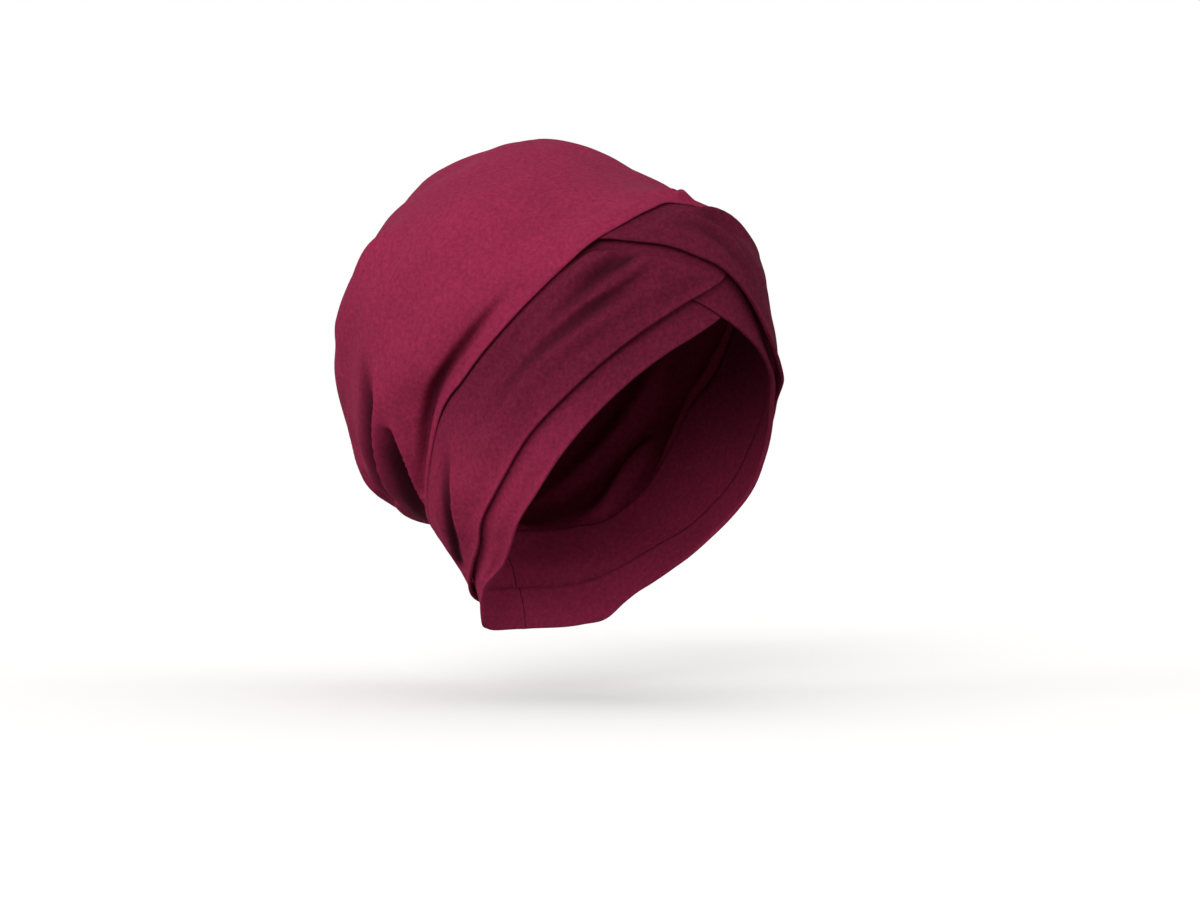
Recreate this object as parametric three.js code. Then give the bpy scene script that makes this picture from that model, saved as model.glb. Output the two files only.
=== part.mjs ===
// Hijab cap: a jersey turban cap in its worn form, open where the head goes in.
// Four folded bands run from the middle of the nape, round the sides of the head, and cross over
// the forehead. A slouchy crown bag covers the top and the back, and its rim rolls over the bands.
//
// Frame: millimetres, +Z up, the wearer faces -Y and the wearer's left is +X. The origin is the
// top of the head, where the underside of the crown rests on it.
// Angles are azimuths in degrees: 0 at the forehead, 90 at the wearer's right ear, 180 at the nape.
// A band's own angle grows from the forehead toward its own side, and is negative past the
// forehead, where the band has crossed to the other side.

import * as THREE from 'three';

// ---- driving dimensions -------------------------------------------------------------------

const BAND_WALL = 1.1; // a band is jersey folded double
const CROWN_WALL = 1.2; // the crown is one layer of thick soft jersey
const LAYER_GAP = 0.45; // air between two layers that lie on each other
const LAYER_PITCH = BAND_WALL + LAYER_GAP;
const SEAM_TUCK = 3.5; // how far a wide band runs on under the crown's rim
const EDGE_TUCK = 6; // how far an edge band runs on under its wide band
const NAPE_GAP = 0.2; // half of the gap at the centre back seam, in degrees
const LEFT_WIDE_START = -46; // own angle where that band ends, past the crossing, under the crown
const RIGHT_WIDE_START = -38; // own angle where that band ends under the left one
const EDGE_BAND_START = -32; // own angle where an edge band ends under the wide bands
const HEAD_TAPER = 0.08; // how much narrower the head is at the forehead than at the back
const RIM_LIFT = 6; // how far above the seam the crown's rim stays on the bands
const RIM_ROLL = 0.6; // how far the rolled rim swells above the flat of the seam
const COVER_FADE = 5; // a ridge dies out this far below the edge of a band that lies over it
const FRONT_SINK = 2.2; // over the forehead, the wide bands and the rim sink by this above ...
const SINK_STARTS = -50.5; // ... the edge bands, between these two heights ...
const SINK_FULL = -36;
const SINK_FADES = 24; // ... and between these two angles, on either side
const SINK_ENDS = 52;
const JERSEY_ROUGHNESS = 0.9;

// Rows become objects that are read by the names of their columns.
function rowsOf(columns, rows) {
  const names = columns.split(' ');
  return rows.map((row) => Object.fromEntries(names.map((name, i) => [name, row[i]])));
}

// The surface that the bands lie on: level oval sections from the neck up to the bands' top edges.
const HEAD_SECTIONS = rowsOf('z centreY halfWidth halfLength', [
  [-242, -28, 46.5, 48],
  [-226, -28, 48, 51],
  [-213, -29, 51, 56.5],
  [-205, -30, 53.5, 60.5],
  [-192, -32, 61, 73],
  [-182, -33, 67.5, 81],
  [-168, -36, 72.5, 87.5],
  [-150, -37, 75, 89],
  [-132, -37.5, 75.5, 88],
  [-114, -38, 74.5, 86.5],
  [-98, -37.5, 72, 84.5],
  [-82, -36.5, 69.5, 82.5],
  [-66, -35, 67.5, 81],
  [-54, -34, 62.5, 75.5],
  [-44, -33, 55, 68],
  [-36, -32, 44, 56],
  [-30, -31, 32, 42],
  [-26, -30, 23, 30],
  [-23, -29, 12, 16],
]);

// Heights of the band edges by own angle: the hem round the face, the lower edge of each wide
// band, and the seam under the crown's rim. The seam is the same on both sides.
const BAND_EDGES = rowsOf('angle hem midRight midLeft seam', [
  [-46, -78, -55, -55, -55.5],
  [-36, -77, -56.5, -56.5, -48.5],
  [-20, -78, -59.5, -59, -41],
  [-10, -81.5, -64, -63, -38.6],
  [0, -88, -71.5, -67.7, -37.8],
  [12, -96, -79, -78.5, -38.6],
  [24, -104.5, -88, -95.5, -43],
  [35, -115, -97.5, -110, -48.5],
  [47, -130.5, -110.5, -122, -56.5],
  [59, -150, -126.5, -136, -67],
  [70, -172, -143.5, -150, -80],
  [78, -187, -160, -164, -91],
  [86, -199, -175, -177, -102.5],
  [94, -206, -189, -190, -115],
  [106, -214, -200, -200, -132],
  [113, -218, -205, -205, -152],
  [120, -223, -209.5, -209.5, -170],
  [130, -231, -215, -215, -183],
  [145, -234.5, -220, -220, -188],
  [180, -236, -222, -222, -190],
]);

// Hoops of the crown bag from the rim to the top, where "along" is 0 at the seam and 1 at the
// top. Each hoop is given by its front, side and back points, its half width at the side, and how
// much narrower it is in front than behind.
const CROWN_HOOPS = rowsOf('along frontY frontZ sideY sideZ halfWidth backY backZ taper', [
  [0.12, -83, -27, -22, -98, 90, 72, -189, 0.24],
  [0.25, -72, -25.5, -12, -82, 92, 101, -174, 0.28],
  [0.4, -60, -22, -4, -62, 90.5, 115, -138, 0.32],
  [0.55, -45, -16, 0, -42, 79, 117, -100, 0.38],
  [0.7, -28, -8, 6, -24, 60, 109.5, -54, 0.42],
  [0.85, -8, 0, 11, -7, 36, 92, -16, 0.4],
  [1, 24, 3.4, 24, 3.4, 0, 24, 3.4, 0.4],
]);

// Folds and dents. Each follows a bent line through three places, and rises by its height in
// millimetres, or sinks where that is negative, over its width on either side.
// On the crown a place is an azimuth and an "along". On a band it is an own angle and a share of
// the band's width, from 0 at the lower edge to 1 at the seam. A band lies tight on the head in
// its valleys, so only its ridges are listed.
const FOLD_COLUMNS = 'angleA acrossA angleB acrossB angleC acrossC width height';
const CROWN_FOLDS = rowsOf(FOLD_COLUMNS, [
  [66, 0.07, 95, 0.075, 121, 0.05, 6, -3.2], // valley beside the seam, on the right
  [60, 0.03, 92, 0.035, 119, 0.03, 5, 1.6], // rolled ridge between that valley and the seam
  [109, 0.34, 118, 0.23, 152, 0.17, 10, -5], // wide valley down the back of the bag, right
  [104, 0.27, 117, 0.17, 150, 0.14, 7, 2.5], // sharp ridge in front of it
  [118, 0.13, 124, 0.08, 133, 0.03, 8, -4.5], // pleat that runs into the seam behind the ear
  [98, 0.79, 110, 0.755, 121, 0.7, 12, -3.5], // shallow dent, upper back
  [98, 0.6, 112, 0.54, 124, 0.47, 13, 3.5], // soft bulge below the dent
  [115, 0.38, 125, 0.31, 132, 0.23, 15, -3], // slack above the hanging end
  [-66, 0.07, -95, 0.08, -124, 0.05, 7, -3], // the same kinds of fold on the left
  [-111, 0.32, -124, 0.22, -150, 0.16, 11, -4.5],
  [-122, 0.12, -130, 0.08, -140, 0.03, 8, -4],
  [158, 0.2, 170, 0.12, 176, 0.04, 10, -4], // gathers at the nape
  [-162, 0.18, -170, 0.11, -172, 0.04, 9, -3.5],
]);
const WIDE_BAND_RIDGES = rowsOf(FOLD_COLUMNS, [
  [33, 0.9, 48, 0.8, 68, 0.88, 4, 1],
  [27, 0.7, 44, 0.6, 66, 0.62, 4.5, 1.1],
  [22, 0.42, 45, 0.34, 72, 0.4, 7, 0.8],
  [98, 0.78, 100, 0.38, 107, 0.1, 4, 1.4],
  [110, 0.85, 112, 0.5, 121, 0.25, 5, 1],
  [136, 0.8, 144, 0.45, 155, 0.1, 6, 1],
]);

// Number of layers between the head and each piece, on the wearer's left, over the forehead and on
// the right. It changes between the angles beside it. At the crossing the order from the head
// outward is right edge, left edge, right wide, left wide, crown. A wide band and the crown lie a
// little looser than a whole layer, where they bridge a steep bend.
const LAYERS = rowsOf('piece left leftFrom leftTo front rightFrom rightTo right', [
  ['right_edge_band', 0, -46, -34, 0, 34, 46, 0],
  ['left_edge_band', 0, -46, -34, 1, 34, 46, 1],
  ['right_wide_band', 2.1, -46, -34, 2.03, 34, 46, 1.15],
  ['left_wide_band', 1.15, -52, -40, 3.36, 48, 60, 3.36],
  ['crown', 2.35, -54, -42, 4.68, 48, 60, 2.35],
]);

// Steps of the grids.
const BAND_STEP = 5; // degrees, the same on every band, so that their facets lie side by side
const WIDE_BAND_ROWS = 8;
const EDGE_BAND_ROWS = 5;
const CROWN_STEPS = 60;
const CROWN_ROWS = [
  0, 0.015, 0.032, 0.05, 0.07, 0.09, 0.115, 0.145, 0.18, 0.22,
  0.27, 0.33, 0.4, 0.49, 0.59, 0.7, 0.81, 0.91,
];

// ---- curves through tables ------------------------------------------------------------------

const radians = THREE.MathUtils.degToRad;

// Smooth step from 0 at "from" to 1 at "to".
function ramp(x, from, to) {
  return THREE.MathUtils.smoothstep(x, from, to);
}

// A smooth curve through knots and values: cubic pieces whose slopes at the knots follow the
// neighbouring values, weighted by their distance.
function smoothCurve(knots, values) {
  const last = knots.length - 1;
  const rise = (i) => (values[i + 1] - values[i]) / (knots[i + 1] - knots[i]);
  const slopes = knots.map((_, i) => {
    if (i === 0) return rise(0);
    if (i === last) return rise(last - 1);
    const before = knots[i] - knots[i - 1];
    const after = knots[i + 1] - knots[i];
    return (rise(i - 1) * after + rise(i) * before) / (before + after);
  });
  return (x) => {
    const at = THREE.MathUtils.clamp(x, knots[0], knots[last]);
    let i = 0;
    while (i < last - 1 && at >= knots[i + 1]) i += 1;
    const span = knots[i + 1] - knots[i];
    const f = (at - knots[i]) / span;
    const g = 1 - f;
    return (1 + 2 * f) * g * g * values[i] + f * g * g * span * slopes[i]
      + f * f * (3 - 2 * f) * values[i + 1] - f * f * g * span * slopes[i + 1];
  };
}

// One smooth curve for each column of a table, over its first column.
function curvesOf(table) {
  const [knotName, ...names] = Object.keys(table[0]);
  const knots = table.map((row) => row[knotName]);
  return Object.fromEntries(names.map((name) => [
    name, smoothCurve(knots, table.map((row) => row[name])),
  ]));
}

const headCurves = curvesOf(HEAD_SECTIONS);
const edgeCurves = curvesOf(BAND_EDGES);

// ---- the surface that the bands lie on ---------------------------------------------------------

function onHead(angle, z) {
  const t = radians(angle);
  return new THREE.Vector3(
    -headCurves.halfWidth(z) * Math.sin(t) * (1 - HEAD_TAPER * Math.cos(t)),
    headCurves.centreY(z) - headCurves.halfLength(z) * Math.cos(t),
    z,
  );
}

// Small steps by which normals are measured: degrees, millimetres of height, share of a meridian.
const SMALL_ANGLE = 0.1;
const SMALL_HEIGHT = 0.3;
const BAG_ANGLE = 0.5;
const BAG_ALONG = 0.004;

// Outward normal of a surface given by a function of two numbers, from small steps either way.
function normalAt(surface, u, v, stepU, stepV) {
  const alongU = surface(u + stepU, v).sub(surface(u - stepU, v));
  const alongV = surface(u, v + stepV).sub(surface(u, v - stepV));
  return alongV.cross(alongU).normalize();
}

function headNormal(angle, z) {
  return normalAt(onHead, angle, z, SMALL_ANGLE, SMALL_HEIGHT);
}

// A point that stands off the head.
function offHead(angle, z, offset) {
  return onHead(angle, z).addScaledVector(headNormal(angle, z), offset);
}

const seamHeight = (angle) => edgeCurves.seam(Math.abs(angle));

// A distance up the slope of the head at the seam, as a change of height.
function climb(angle, distance) {
  const normal = headNormal(angle, seamHeight(angle));
  return distance * Math.hypot(normal.x, normal.y);
}

// How far a piece's inner side stands off the head at one azimuth and height.
function standOff(name, angle, z) {
  const row = LAYERS.find((candidate) => candidate.piece === name);
  const count = row.left + (row.front - row.left) * ramp(angle, row.leftFrom, row.leftTo)
    + (row.right - row.front) * ramp(angle, row.rightFrom, row.rightTo);
  const sink = ramp(z, SINK_STARTS, SINK_FULL) * (1 - ramp(Math.abs(angle), SINK_FADES, SINK_ENDS));
  return count * LAYER_PITCH - FRONT_SINK * sink;
}

// ---- folds ------------------------------------------------------------------------------------

const FOLD_SAMPLES = 10;
const DEGREE_ON_BAND = 1.3; // millimetres of cloth to a degree and, on the crown, to its height
const DEGREE_ON_CROWN = 1.5;
const ALONG_ON_CROWN = 190;
const FOLD_FADE = 0.25; // share of a fold's length over which each end dies out
const FOLD_END = 0.05; // share by which a fold is already there at its very end
const FOLDS_START = 0.012; // the crown's folds grow between these two places above the seam
const FOLDS_FULL = 0.055;

// Height of a set of folds at one place. Places are compared in millimetres on the cloth, by the
// sizes of one degree and of one unit across.
function foldHeight(folds, angle, across, perDegree, perUnit) {
  const here = new THREE.Vector2(angle * perDegree, across * perUnit);
  return folds.reduce((height, fold) => {
    const bend = new THREE.QuadraticBezierCurve(
      new THREE.Vector2(fold.angleA * perDegree, fold.acrossA * perUnit),
      new THREE.Vector2(
        (2 * fold.angleB - (fold.angleA + fold.angleC) / 2) * perDegree,
        (2 * fold.acrossB - (fold.acrossA + fold.acrossC) / 2) * perUnit,
      ),
      new THREE.Vector2(fold.angleC * perDegree, fold.acrossC * perUnit),
    );
    let nearest = Infinity;
    let place = 0;
    for (let i = 0; i <= FOLD_SAMPLES; i += 1) {
      const distance = bend.getPoint(i / FOLD_SAMPLES).distanceTo(here);
      if (distance < nearest) {
        nearest = distance;
        place = i / FOLD_SAMPLES;
      }
    }
    const fade = ramp(place, -FOLD_END, FOLD_FADE) * ramp(1 + FOLD_END - place, 0, FOLD_FADE);
    return height + fold.height * fade * Math.exp(-((nearest / fold.width) ** 2));
  }, 0);
}

// ---- closed shells ------------------------------------------------------------------------------

// A closed shell from two grids of points, outer[row][step] and inner[row][step]. A ring's steps
// close on themselves, and its last row closes on a pole; a strip has four cut edges.
function shellGeometry(outer, inner, poles) {
  const rows = outer.length;
  const steps = outer[0].length;
  const positions = [...outer.flat(), ...inner.flat()].flatMap((p) => p.toArray());
  const index = [];
  const out = (row, step) => row * steps + (step % steps);
  const into = (row, step) => rows * steps + row * steps + (step % steps);
  const quad = (a, b, c, d) => index.push(a, b, c, a, c, d);
  const stepCount = poles ? steps : steps - 1;

  for (let row = 0; row < rows - 1; row += 1) {
    for (let step = 0; step < stepCount; step += 1) {
      quad(out(row, step), out(row + 1, step), out(row + 1, step + 1), out(row, step + 1));
      quad(into(row, step), into(row, step + 1), into(row + 1, step + 1), into(row + 1, step));
    }
  }
  for (let step = 0; step < stepCount; step += 1) {
    quad(out(0, step), out(0, step + 1), into(0, step + 1), into(0, step));
  }
  const top = rows - 1;
  if (poles) {
    const outerPole = 2 * rows * steps;
    const innerPole = outerPole + 1;
    positions.push(...poles.outer.toArray(), ...poles.inner.toArray());
    for (let step = 0; step < stepCount; step += 1) {
      index.push(out(top, step), outerPole, out(top, step + 1));
      index.push(into(top, step), into(top, step + 1), innerPole);
    }
  } else {
    for (let step = 0; step < stepCount; step += 1) {
      quad(out(top, step), into(top, step), into(top, step + 1), out(top, step + 1));
    }
    const end = steps - 1;
    for (let row = 0; row < top; row += 1) {
      quad(out(row, 0), into(row, 0), into(row + 1, 0), out(row + 1, 0));
      quad(out(row, end), out(row + 1, end), into(row + 1, end), into(row, end));
    }
  }

  const geometry = new THREE.BufferGeometry();
  geometry.setAttribute('position', new THREE.Float32BufferAttribute(positions, 3));
  geometry.setIndex(signedVolume(positions, index) > 0 ? index : index.reverse());
  geometry.computeVertexNormals();
  return geometry;
}

// Positive where the triangles face out of the body.
function signedVolume(positions, index) {
  const corner = (i) => new THREE.Vector3().fromArray(positions, 3 * index[i]);
  let volume = 0;
  for (let i = 0; i < index.length; i += 3) {
    volume += corner(i).dot(corner(i + 1).cross(corner(i + 2)));
  }
  return volume;
}

// ---- bands --------------------------------------------------------------------------------------

// Own angles from a band's hidden end past the forehead to the centre back.
function bandAngles(start) {
  const end = 180 - NAPE_GAP;
  const angles = [start];
  for (let own = Math.ceil(start / BAND_STEP) * BAND_STEP; own < end; own += BAND_STEP) {
    angles.push(own);
  }
  return [...angles, end];
}

// One band as a strip between a lower and an upper edge. Its side is 1 on the wearer's right and
// -1 on the left. "swell" gives how far its ridges stand up at an own angle and a share across.
function bandGeometry(name, side, start, rows, lowerEdge, upperEdge, swell) {
  const point = (own, across, offset) => {
    const low = lowerEdge(own);
    const z = low + (upperEdge(own) - low) * across;
    const lift = standOff(name, side * own, z) + swell(own, across, z);
    return offHead(side * own, z, lift + offset);
  };
  const grid = (offset) => Array.from({ length: rows + 1 }, (_, row) => (
    bandAngles(start).map((own) => point(own, row / rows, offset))
  ));
  return shellGeometry(grid(BAND_WALL), grid(0), null);
}

// A wide band runs up under the crown's rim. The right one's ridges die out where the left wide
// band lies over them.
function wideBand(name, side) {
  const mid = side > 0 ? edgeCurves.midRight : edgeCurves.midLeft;
  const start = side > 0 ? RIGHT_WIDE_START : LEFT_WIDE_START;
  const top = (own) => seamHeight(own) + climb(side * own, SEAM_TUCK);
  const coverEdge = (own) => (side > 0 && own < -LEFT_WIDE_START ? edgeCurves.midLeft(-own) : 0);
  const swell = (own, across, z) => (
    foldHeight(WIDE_BAND_RIDGES, own, across, DEGREE_ON_BAND, top(own) - mid(own))
      * ramp(coverEdge(own) - z, 0, COVER_FADE) * ramp(seamHeight(own) - z, 0, COVER_FADE)
  );
  return bandGeometry(name, side, start, WIDE_BAND_ROWS, mid, top, swell);
}

// An edge band frames the face and runs up under its wide band.
function edgeBand(name, side) {
  const mid = side > 0 ? edgeCurves.midRight : edgeCurves.midLeft;
  const top = (own) => mid(own) + EDGE_TUCK;
  return bandGeometry(name, side, EDGE_BAND_START, EDGE_BAND_ROWS, edgeCurves.hem, top, () => 0);
}

// ---- crown --------------------------------------------------------------------------------------

// A point of one hoop: an oval in space through its front, side and back points.
function onHoop(hoop, angle) {
  const t = radians(angle);
  const c = Math.cos(t);
  const through = (front, side, back) => (
    side + ((front - back) / 2) * c + ((front + back) / 2 - side) * c * c
  );
  return new THREE.Vector3(
    -hoop.halfWidth * Math.sin(t) * (1 - hoop.taper * c),
    through(hoop.frontY, hoop.sideY, hoop.backY),
    through(hoop.frontZ, hoop.sideZ, hoop.backZ),
  );
}

// The line of the crown's cloth at one azimuth, from the rim on the bands up to the top and a
// little past it, so that it crosses the top smoothly.
const RIM_ALONG = 0.035;
const meridians = new Map();
function meridian(angle) {
  if (!meridians.has(angle)) {
    const rim = seamHeight(angle);
    const rolled = rim + climb(angle, RIM_LIFT);
    const beyond = CROWN_HOOPS[CROWN_HOOPS.length - 2];
    const points = [
      offHead(angle, rim, standOff('crown', angle, rim) + CROWN_WALL),
      offHead(angle, rolled, standOff('crown', angle, rolled) + CROWN_WALL + RIM_ROLL),
      ...CROWN_HOOPS.map((hoop) => onHoop(hoop, angle)),
      onHoop(beyond, angle + 180),
    ];
    const knots = [0, RIM_ALONG, ...CROWN_HOOPS.map((hoop) => hoop.along), 2 - beyond.along];
    meridians.set(angle, ['x', 'y', 'z'].map((axis) => (
      smoothCurve(knots, points.map((p) => p[axis]))
    )));
  }
  return meridians.get(angle);
}

function onBag(angle, along) {
  return new THREE.Vector3(...meridian(angle).map((curve) => curve(along)));
}

// The bag with its folds. They fade out at the rim, which lies on the bands.
function onCrown(angle, along) {
  const normal = normalAt(onBag, angle, along, BAG_ANGLE, BAG_ALONG);
  const height = foldHeight(CROWN_FOLDS, angle, along, DEGREE_ON_CROWN, ALONG_ON_CROWN)
    * ramp(along, FOLDS_START, FOLDS_FULL);
  return onBag(angle, along).addScaledVector(normal, height);
}

function crownGeometry() {
  const outer = CROWN_ROWS.map((along) => (
    Array.from({ length: CROWN_STEPS }, (_, step) => (
      onCrown((360 * step) / CROWN_STEPS - 180, along)
    ))
  ));
  const inner = outer.map((points, row) => points.map((point, step) => {
    const next = points[(step + 1) % CROWN_STEPS];
    const previous = points[(step + CROWN_STEPS - 1) % CROWN_STEPS];
    const above = row + 1 < outer.length ? outer[row + 1][step] : onBag(0, 1);
    const below = row > 0 ? outer[row - 1][step] : point;
    const normal = above.clone().sub(below).cross(next.clone().sub(previous)).normalize();
    return point.clone().addScaledVector(normal, -CROWN_WALL);
  }));
  const top = onBag(0, 1);
  const poles = { outer: top, inner: top.clone().setZ(top.z - CROWN_WALL) };
  return shellGeometry(outer, inner, poles);
}

// ---- the cap ------------------------------------------------------------------------------------

function jersey(color) {
  return new THREE.MeshStandardMaterial({ color, roughness: JERSEY_ROUGHNESS, metalness: 0 });
}

function piece(name, geometry, material) {
  const mesh = new THREE.Mesh(geometry, material);
  mesh.name = name;
  return mesh;
}

const cap = new THREE.Group();
cap.name = 'hijab_cap';
cap.add(
  piece('crown', crownGeometry(), jersey('#902b48')),
  piece('right_wide_band', wideBand('right_wide_band', 1), jersey('#7c2440')),
  piece('left_wide_band', wideBand('left_wide_band', -1), jersey('#7a243e')),
  piece('right_edge_band', edgeBand('right_edge_band', 1), jersey('#7d2541')),
  piece('left_edge_band', edgeBand('left_edge_band', -1), jersey('#7d2541')),
);

export default cap;
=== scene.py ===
import math
from collections import namedtuple

import bpy
import numpy as np
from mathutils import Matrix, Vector, noise


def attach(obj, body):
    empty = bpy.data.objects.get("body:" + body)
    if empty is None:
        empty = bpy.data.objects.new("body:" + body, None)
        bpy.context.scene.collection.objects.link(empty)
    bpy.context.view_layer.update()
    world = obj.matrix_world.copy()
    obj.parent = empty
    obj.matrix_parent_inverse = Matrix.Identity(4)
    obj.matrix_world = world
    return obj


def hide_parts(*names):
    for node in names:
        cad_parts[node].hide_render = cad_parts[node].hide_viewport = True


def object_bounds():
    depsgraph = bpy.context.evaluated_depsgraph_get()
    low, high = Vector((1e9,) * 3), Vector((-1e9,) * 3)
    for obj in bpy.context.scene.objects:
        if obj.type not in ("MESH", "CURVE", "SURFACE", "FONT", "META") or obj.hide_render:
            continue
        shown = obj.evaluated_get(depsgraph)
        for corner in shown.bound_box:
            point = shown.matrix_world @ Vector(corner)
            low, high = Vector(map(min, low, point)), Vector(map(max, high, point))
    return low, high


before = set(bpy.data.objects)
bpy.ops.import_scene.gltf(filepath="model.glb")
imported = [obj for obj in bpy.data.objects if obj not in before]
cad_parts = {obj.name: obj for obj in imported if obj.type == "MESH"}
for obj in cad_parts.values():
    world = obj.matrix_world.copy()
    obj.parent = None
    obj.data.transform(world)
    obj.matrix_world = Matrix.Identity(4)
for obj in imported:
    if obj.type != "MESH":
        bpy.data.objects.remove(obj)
cad_box = [list(corner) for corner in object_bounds()]

# ---- camera and studio --------------------------------------------------------------------------
# The cap is seen from the wearer's right of straight ahead, level with its middle. It hangs at
# the height of its wearer's head over a pale floor, in a bright white surround with one softbox
# in front and a reflector on either side.

VIEW_TURN = 40  # degrees from straight ahead toward the wearer's right
VIEW_DISTANCE = 1.5
VIEW_LENS, VIEW_SENSOR = 93.75, 36  # millimetres
VIEW_AIM = (0.0037, -0.0311, -0.148)
FLOOR_BELOW_HEM = 0.0305  # the neck goes on this far below the lowest hem
FLOOR_SIZE = 60
SURROUND_LIGHT = 0.86  # how strongly it lights the cap, though to the eye it is pure white
# Each lamp: where it shines from (to the camera's right, up, toward the camera), its strength,
# and how many degrees across it looks from the cap.
LAMPS = {
    "softbox": ((-0.27, 0.34, 0.88), 1.85, 36),
    "left_reflector": ((-0.93, 0.02, 0.35), 2.1, 50),
    "right_reflector": ((0.93, 0.03, 0.35), 0.95, 50),
}


def linear(hex_colour):
    """A hex colour as the linear values that shaders and lamps take."""
    channels = [int(hex_colour[i : i + 2], 16) / 255 for i in (1, 3, 5)]
    return [c / 12.92 if c <= 0.04045 else ((c + 0.055) / 1.055) ** 2.4 for c in channels] + [1]


def add_node(tree, kind, inputs=None, **settings):
    """Adds one node with its settings. An input is a value or the output that feeds it."""
    node = tree.nodes.new(kind)
    for name, value in settings.items():
        setattr(node, name, value)
    for name, value in (inputs or {}).items():
        if isinstance(value, bpy.types.NodeSocket):
            tree.links.new(value, node.inputs[name])
        else:
            node.inputs[name].default_value = value
    return node


def place(thing):
    """Links an object into the scene."""
    bpy.context.scene.collection.objects.link(thing)
    return thing


turn = math.radians(VIEW_TURN)
view_right = Vector((math.cos(turn), -math.sin(turn), 0))
view_toward = Vector((-math.sin(turn), -math.cos(turn), 0))
view_up = Vector((0, 0, 1))

camera = place(bpy.data.objects.new("camera", bpy.data.cameras.new("camera")))
camera.data.sensor_width = VIEW_SENSOR
camera.data.lens = VIEW_LENS
camera.location = Vector(VIEW_AIM) + view_toward * VIEW_DISTANCE
camera.rotation_euler = (-view_toward).to_track_quat("-Z", "Y").to_euler()
bpy.context.scene.camera = camera
bpy.context.scene.view_settings.view_transform = "Standard"

for name, (shines_from, power, across) in LAMPS.items():
    lamp = place(bpy.data.objects.new(name, bpy.data.lights.new(name, "SUN")))
    lamp.data.energy = power
    lamp.data.angle = math.radians(across)
    toward_lamp = sum(
        (axis * part for axis, part in zip((view_right, view_up, view_toward), shines_from)),
        Vector(),
    )
    lamp.rotation_euler = (-toward_lamp).to_track_quat("-Z", "Y").to_euler()

surround = bpy.data.worlds.new("surround")
bpy.context.scene.world = surround
surround.use_nodes = True
surround.node_tree.nodes.clear()
seen = add_node(surround.node_tree, "ShaderNodeLightPath")
strength = add_node(surround.node_tree, "ShaderNodeMapRange", {
    "Value": seen.outputs["Is Camera Ray"], "To Min": SURROUND_LIGHT, "To Max": 1.0,
})
white = add_node(surround.node_tree, "ShaderNodeBackground", {
    "Color": linear("#ffffff"), "Strength": strength.outputs["Result"],
})
add_node(surround.node_tree, "ShaderNodeOutputWorld", {"Surface": white.outputs["Background"]})

# Matt white paint, plain and even. It sends little light back up, as if it were far below.
paint = bpy.data.materials.new("matt_white_paint")
paint.use_nodes = True
paint.node_tree.nodes.clear()
seen = add_node(paint.node_tree, "ShaderNodeLightPath")
white = add_node(paint.node_tree, "ShaderNodeMix", {
    "Factor": seen.outputs["Is Camera Ray"], 6: linear("#989898"), 7: linear("#f4f3f2"),
}, data_type="RGBA")
chalk = add_node(paint.node_tree, "ShaderNodeBsdfDiffuse", {"Color": white.outputs[2]})
add_node(paint.node_tree, "ShaderNodeOutputMaterial", {"Surface": chalk.outputs["BSDF"]})

bpy.ops.mesh.primitive_plane_add(
    size=FLOOR_SIZE, location=(0, 0, cad_box[0][2] - FLOOR_BELOW_HEM)
)
floor = bpy.context.object
floor.name = "floor"
floor.data.materials.append(paint)

# ---- edge bands ---------------------------------------------------------------------------------
# Two narrow bands of jersey folded double frame the face. Each runs from the seam at the nape
# round the ear to the forehead, where the left one lies over the right. Their folded edge is soft
# and a little fuller than the rest, and their raw edges are tucked under the wide bands.

MM = 0.001  # from here on, sizes and heights are in millimetres and angles in degrees
CLOTH_WALL = 0.5  # one thickness of jersey
BAND_WALL = 1.1  # two thicknesses, lying loosely together
LAYER_PITCH = 1.55  # from one folded band to the next that lies on it
EDGE_TUCK = 6  # how far an edge band goes on under the wide band
EDGE_BAND_START = -32  # where an edge band ends, past the crossing at the forehead
NAPE_GAP = 0.2  # how far short of the middle of the nape each band stops
EDGE_SHOWS = (-6, 6)  # angles over which a folded edge comes out from under the other band


def table(columns, rows):
    """Columns of numbers by their names."""
    return dict(zip(columns.split(), np.array(rows, float).T))


# The head that the bands lie on: level ovals from the neck up, each a little narrower in front.
HEAD_TAPER = 0.08
HEAD_SECTIONS = table("z centre_y half_width half_length", [
    (-242, -28, 46.5, 48), (-226, -28, 48, 51), (-213, -29, 51, 56.5), (-205, -30, 53.5, 60.5),
    (-192, -32, 61, 73), (-182, -33, 67.5, 81), (-168, -36, 72.5, 87.5), (-150, -37, 75, 89),
    (-132, -37.5, 75.5, 88), (-114, -38, 74.5, 86.5), (-98, -37.5, 72, 84.5),
    (-82, -36.5, 69.5, 82.5), (-66, -35, 67.5, 81), (-54, -34, 62.5, 75.5), (-44, -33, 55, 68),
    (-36, -32, 44, 56), (-30, -31, 32, 42), (-26, -30, 23, 30), (-23, -29, 12, 16),
])

# Heights of the band edges by a band's own angle, which is 0 at the forehead and 180 at the nape.
BAND_EDGES = table("angle hem mid_right mid_left seam", [
    (-46, -78, -55, -55, -55.5), (-36, -77, -56.5, -56.5, -48.5), (-20, -78, -59.5, -59, -41),
    (-10, -81.5, -64, -63, -38.6), (0, -88, -71.5, -67.7, -37.8), (12, -96, -79, -78.5, -38.6),
    (24, -104.5, -88, -95.5, -43), (35, -115, -97.5, -110, -48.5),
    (47, -130.5, -110.5, -122, -56.5), (59, -150, -126.5, -136, -67),
    (70, -172, -143.5, -150, -80), (78, -187, -160, -164, -91), (86, -199, -175, -177, -102.5),
    (94, -206, -189, -190, -115), (106, -214, -200, -200, -132), (113, -218, -205, -205, -152),
    (120, -223, -209.5, -209.5, -170), (130, -231, -215, -215, -183),
    (145, -234.5, -220, -220, -188), (180, -236, -222, -222, -190),
])

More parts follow.
